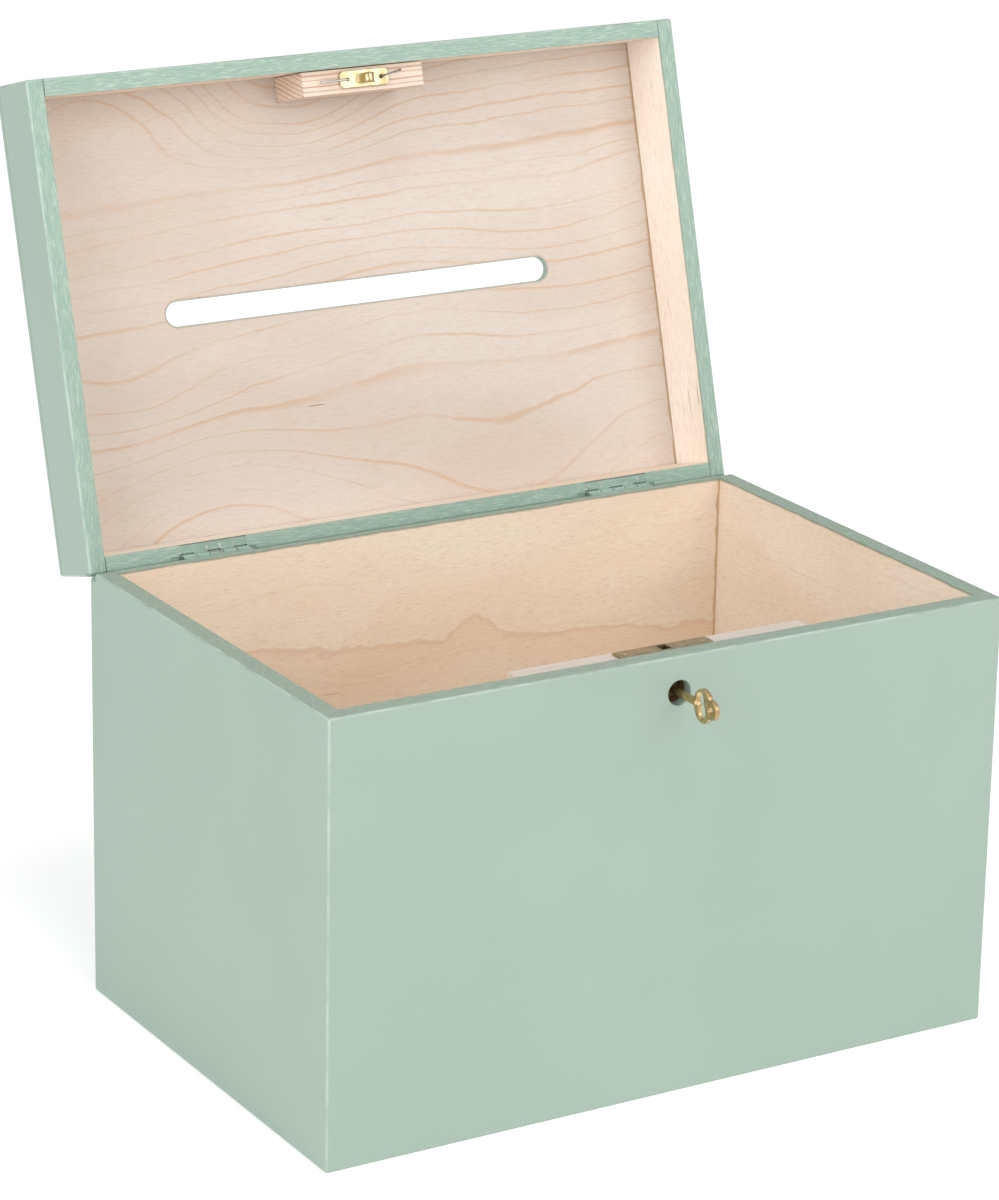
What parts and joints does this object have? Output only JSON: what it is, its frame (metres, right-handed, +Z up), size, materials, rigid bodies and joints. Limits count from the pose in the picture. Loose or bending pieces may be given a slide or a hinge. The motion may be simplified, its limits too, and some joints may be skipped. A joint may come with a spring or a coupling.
{
  "type": "lockable wooden letter box",
  "caption": "Small painted plywood box with a shallow hinged lid, a long posting slot in the lid, and a box lock with a key.",
  "frame": {"origin": "middle of the flat underside of the box", "axes": "+X to the right seen from the front, +Y from the front to the hinges, +Z up"},
  "size_m": [0.3, 0.3031, 0.3645],
  "materials": {
    "mint_painted_plywood": "matt mint green paint outside and on the rims, bare pale birch inside",
    "birch_wood": "bare pale birch, lightly sanded",
    "pine_wood": "bare softwood with close cream and red-brown growth lines",
    "brass": "yellow brass, lightly polished",
    "aged_brass": "dull brown-gold brass",
    "painted_steel": "plated steel painted over in mint, chipped at the knuckles",
    "steel": "bright drawn wire"
  },
  "bodies": {
    "case": {"bottom_panel": "mint_painted_plywood", "front_wall": "mint_painted_plywood", "back_wall": "mint_painted_plywood", "left_wall": "mint_painted_plywood", "right_wall": "mint_painted_plywood", "lock_block": "birch_wood", "lock_case": "aged_brass", "lock_cap": "aged_brass", "lock_post": "steel", "lock_spring": "steel", "lock_pin_left": "brass", "lock_pin_right": "brass", "hinge_left_body_leaf": "painted_steel", "hinge_right_body_leaf": "painted_steel", "hinge_left_pin": "steel", "hinge_right_pin": "steel", "hinge_left_body_brad_1": "steel", "hinge_left_body_brad_2": "steel", "hinge_right_body_brad_1": "steel", "hinge_right_body_brad_2": "steel"},
    "lid": {"lid_top_panel": "mint_painted_plywood", "lid_front_rail": "mint_painted_plywood", "lid_back_rail": "mint_painted_plywood", "lid_left_rail": "mint_painted_plywood", "lid_right_rail": "mint_painted_plywood", "strike_block": "pine_wood", "strike_plate": "brass", "strike_nail_left": "steel", "strike_nail_right": "steel", "hinge_left_lid_leaf": "painted_steel", "hinge_right_lid_leaf": "painted_steel", "hinge_left_lid_brad_1": "steel", "hinge_left_lid_brad_2": "steel", "hinge_right_lid_brad_1": "steel", "hinge_right_lid_brad_2": "steel"},
    "key": {"key": "brass"},
    "bolt": {"lock_bolt": "brass"}
  },
  "joints": [
    {"name": "lid_hinge", "type": "hinge", "parent": "case", "child": "lid", "pos_m": [0, 0.0965, 0.1779], "axis": [-1, 0, 0], "range_deg": [-105.7, 0]},
    {"name": "key_turn", "type": "hinge", "parent": "case", "child": "key", "pos_m": [0, -0.0859, 0.1642], "axis": [0, -1, 0], "range_deg": [0, 180]},
    {"name": "bolt_slide", "type": "slide", "parent": "case", "child": "bolt", "axis": [-1, 0, 0], "range_m": [0, 0.004]}
  ],
  "couplings": [
    {"joint": "key_turn", "follows": "bolt_slide", "rad_per_m": 785.39}
  ]
}
